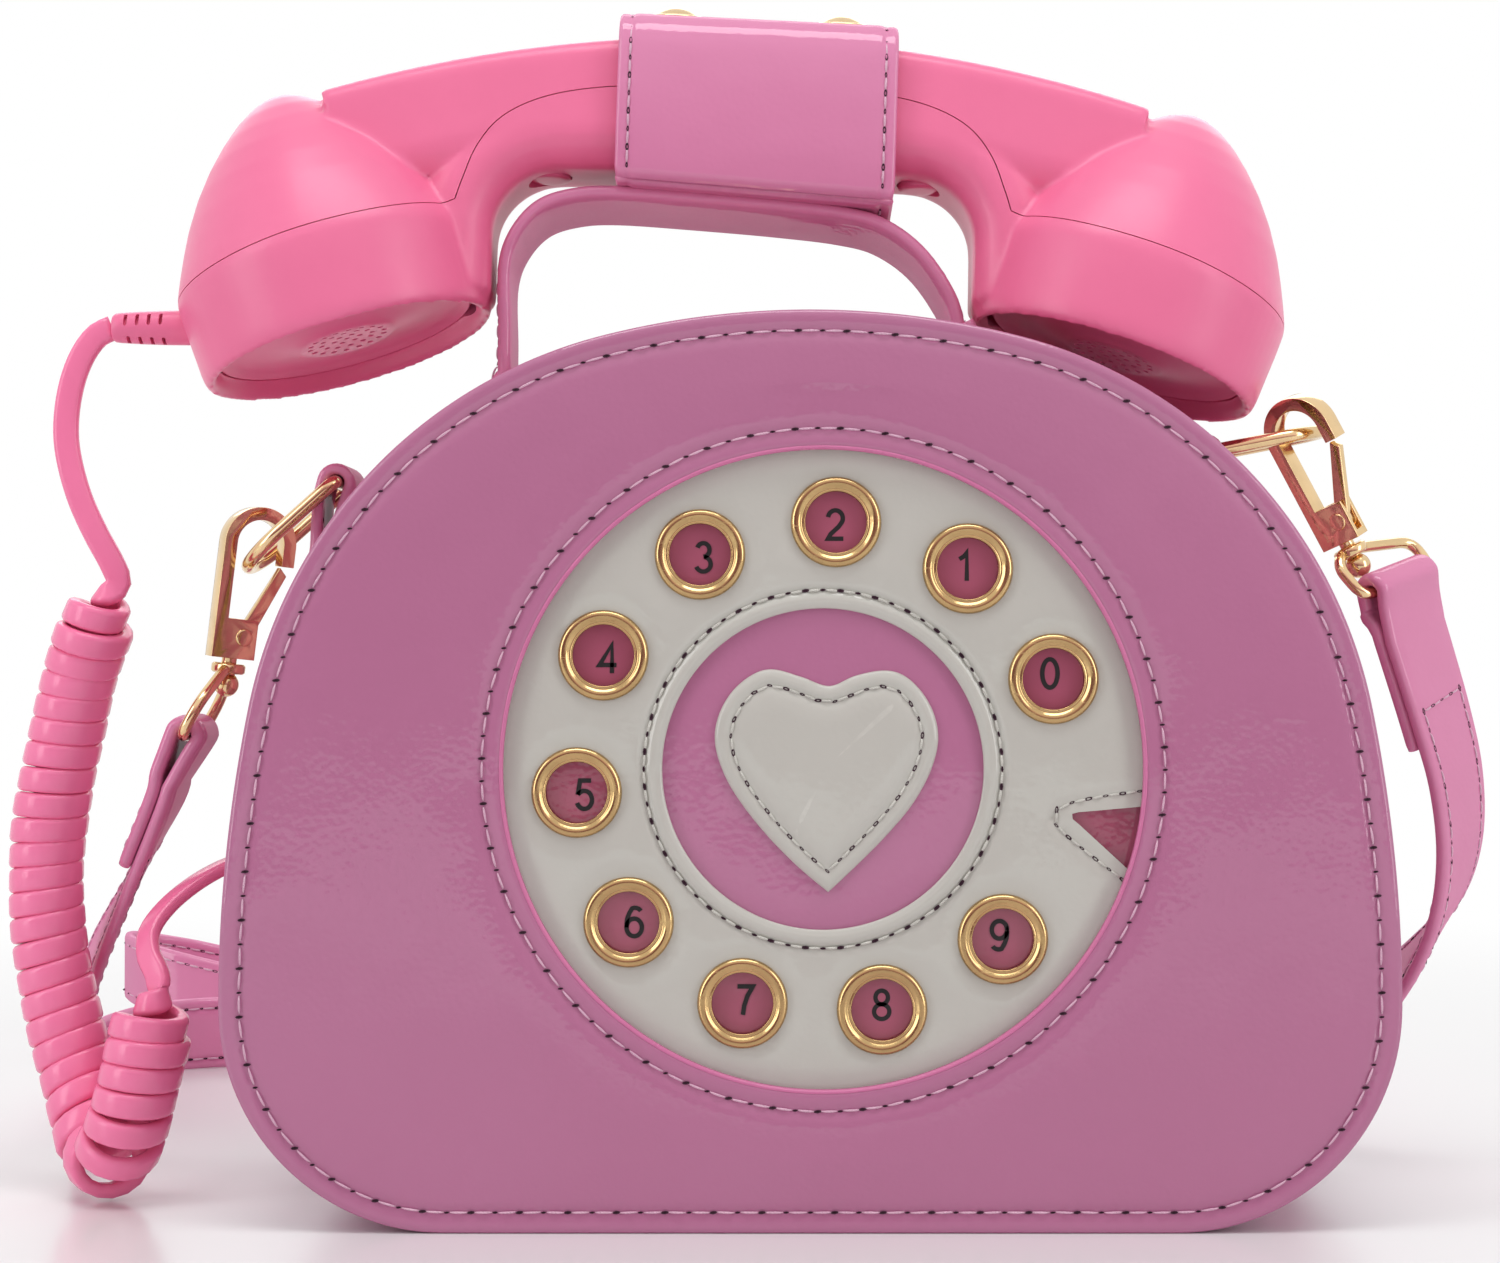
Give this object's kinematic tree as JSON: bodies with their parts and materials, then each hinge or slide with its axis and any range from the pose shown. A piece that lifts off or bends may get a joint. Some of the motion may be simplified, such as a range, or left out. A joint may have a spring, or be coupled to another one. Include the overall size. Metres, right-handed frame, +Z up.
{
  "type": "telephone-shaped crossbody bag",
  "caption": "Arch-shaped patent bag with a rotary-dial front, a corded handset strapped to its handle and a hooked-on shoulder strap.",
  "frame": {"origin": "middle of the bag's flat bottom, on the surface it stands on", "axes": "+X to the right of the dial, +Y to the back, +Z up"},
  "size_m": [0.3208, 0.2704, 0.236],
  "materials": {
    "patent_panel": "glossy patent, mauve pink",
    "patent_strap": "glossy patent, lighter mauve pink",
    "patent_white": "glossy patent, off-white",
    "dial_backing": "deep pink, satin",
    "gold_hardware": "polished pale gold",
    "zip_tape": "woven tape",
    "lining_cloth": "fine plain weave",
    "board": "matt stiffener board",
    "handset_plastic": "satin rubber-touch",
    "cord_jacket": "glossy",
    "dark_parts": "matt",
    "circuit_board": "satin",
    "screw_steel": "plain"
  },
  "bodies": {
    "bag": {"back_panel": "patent_panel", "rear_gusset": "patent_strap", "base_patch": "patent_strap", "base_board": "board", "rear_lining": "lining_cloth", "inner_pocket": "lining_cloth", "zip_tape_rear": "zip_tape", "zip_teeth_rear": "gold_hardware", "side_tabs": "patent_strap", "handle_strap": "patent_strap", "handle_rivets": "gold_hardware", "band_sling": "patent_strap", "band_studs": "gold_hardware", "handset_upper_shell": "handset_plastic", "handset_lower_shell": "handset_plastic", "earpiece_cap": "handset_plastic", "mouthpiece_cap": "handset_plastic", "earpiece_speaker": "dark_parts", "microphone": "dark_parts", "handset_screw": "screw_steel", "screw_cap": "handset_plastic", "circuit_board": "circuit_board", "strain_relief": "cord_jacket", "cord_upper": "cord_jacket", "cord_coil": "cord_jacket", "cord_lower": "cord_jacket", "cord_eyelet": "gold_hardware", "shoulder_strap": "patent_strap", "strap_folds": "patent_strap", "strap_rings": "gold_hardware"},
    "front_cover": {"front_panel": "patent_panel", "front_gusset": "patent_strap", "front_lining": "lining_cloth", "dial_ring": "patent_white", "dial_backing": "dial_backing", "dial_eyelets": "gold_hardware", "heart_patch": "patent_white", "zip_tape_front": "zip_tape", "zip_teeth_front": "gold_hardware"},
    "zip_slider": {"zip_slider": "gold_hardware"},
    "zip_pull": {"zip_pull": "gold_hardware"},
    "band_flap": {"band_flap": "patent_strap", "flap_snap_caps": "gold_hardware"},
    "answer_button": {"answer_button": "handset_plastic"},
    "left_d_ring": {"left_d_ring": "gold_hardware"},
    "right_d_ring": {"right_d_ring": "gold_hardware"},
    "left_hook": {"left_hook": "gold_hardware", "left_hook_pin": "gold_hardware"},
    "left_hook_gate": {"left_hook_gate": "gold_hardware"},
    "right_hook": {"right_hook": "gold_hardware", "right_hook_pin": "gold_hardware"},
    "right_hook_gate": {"right_hook_gate": "gold_hardware"}
  },
  "joints": [
    {"name": "front_opening", "type": "hinge", "parent": "bag", "child": "front_cover", "pos_m": [0, -0.04, 0], "axis": [1, 0, 0], "range_deg": [0, 75]},
    {"name": "zip_travel", "type": "hinge", "parent": "bag", "child": "zip_slider", "pos_m": [0, -0.017, 0.0146], "axis": [0, 1, 0], "range_deg": [-2, 20]},
    {"name": "zip_pull_swing", "type": "hinge", "parent": "zip_slider", "child": "zip_pull", "pos_m": [-0.02461, -0.017, 0.16996], "axis": [0, -1, 0], "range_deg": [0, 110]},
    {"name": "flap_opening", "type": "hinge", "parent": "bag", "child": "band_flap", "pos_m": [-0.0099, -0.014, 0.1986], "axis": [1, 0, 0], "range_deg": [0, 100]},
    {"name": "answer_press", "type": "slide", "parent": "bag", "child": "answer_button", "axis": [0.0227, 0.1045, 0.9943], "range_m": [0, 0.0006], "stiffness_N_per_m": 900, "springref_m": -0.0003},
    {"name": "left_ring_swing", "type": "hinge", "parent": "bag", "child": "left_d_ring", "pos_m": [-0.09364, 0.006, 0.1415], "axis": [0, 1, 0], "range_deg": [-1, 3]},
    {"name": "right_ring_swing", "type": "hinge", "parent": "bag", "child": "right_d_ring", "pos_m": [0.07945, 0.006, 0.14734], "axis": [0, 1, 0], "range_deg": [-3, 2]},
    {"name": "left_hook_swivel", "type": "hinge", "parent": "bag", "child": "left_hook", "pos_m": [-0.11624, 0.006, 0.10651], "axis": [0.1219, 0, 0.9925], "range_deg": [-10, 3]},
    {"name": "left_gate_swing", "type": "hinge", "parent": "left_hook", "child": "left_hook_gate", "pos_m": [-0.11416, 0.0069, 0.11068], "axis": [0.4963, -0.866, -0.0609], "range_deg": [0, 8], "stiffness_Nm_per_rad": 0.02, "springref_deg": -2.86},
    {"name": "right_hook_swivel", "type": "hinge", "parent": "bag", "child": "right_hook", "pos_m": [0.10785, 0.0005, 0.12974], "axis": [-0.4695, 0, 0.8829], "range_deg": [-8, 5]},
    {"name": "right_gate_swing", "type": "hinge", "parent": "right_hook", "child": "right_hook_gate", "pos_m": [0.10691, -0.00077, 0.13423], "axis": [-0.6243, -0.7071, -0.332], "range_deg": [0, 12], "stiffness_Nm_per_rad": 0.02, "springref_deg": -2.86}
  ]
}
